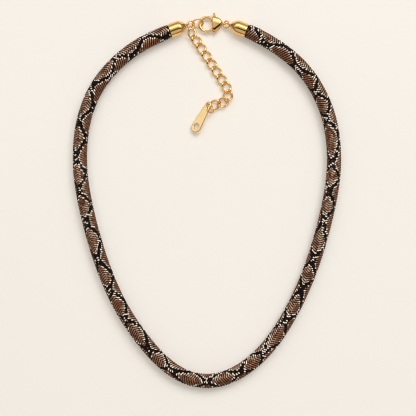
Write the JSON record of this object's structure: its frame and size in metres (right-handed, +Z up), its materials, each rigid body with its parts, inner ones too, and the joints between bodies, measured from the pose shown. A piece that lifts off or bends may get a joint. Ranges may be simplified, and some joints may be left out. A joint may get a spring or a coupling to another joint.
{
  "type": "snake necklace",
  "caption": "Round snakeskin cord necklace with gold end caps, a lobster clasp, a curb extender chain and a teardrop tag, lying flat and closed.",
  "frame": {"origin": "on the table, at the middle of the loop's length and width", "axes": "+X across the loop, +Y along it towards the clasp, +Z up from the table"},
  "size_m": [0.1182, 0.1654, 0.0064],
  "materials": {
    "snakeskin": "small glossy printed scales, brown saddles, black bands and cream dots",
    "cap_gold": "polished, gold plated",
    "gold": "polished, gold plated",
    "bright_gold": "polished, pale gold plated"
  },
  "bodies": {
    "necklace": {"cord": "snakeskin", "cap_left": "cap_gold", "cap_right": "cap_gold", "ring_left": "gold", "ring_clasp": "gold", "link_01": "gold", "link_02": "gold", "link_03": "gold", "link_04": "gold", "link_05": "gold", "link_06": "gold", "link_07": "gold", "link_08": "gold", "link_09": "gold", "link_10": "gold", "link_11": "gold", "ring_tag": "gold", "tag": "bright_gold", "ring_right": "gold", "clasp_body": "gold", "clasp_pin": "bright_gold"},
    "clasp_lever": {"clasp_lever": "gold"}
  },
  "joints": [
    {"name": "lever", "type": "hinge", "parent": "necklace", "child": "clasp_lever", "pos_m": [0.00444, 0.07816, 0.00175], "axis": [0, 0, -1], "range_deg": [0, 15], "stiffness_Nm_per_rad": 0.0003, "springref_deg": -5.73}
  ]
}
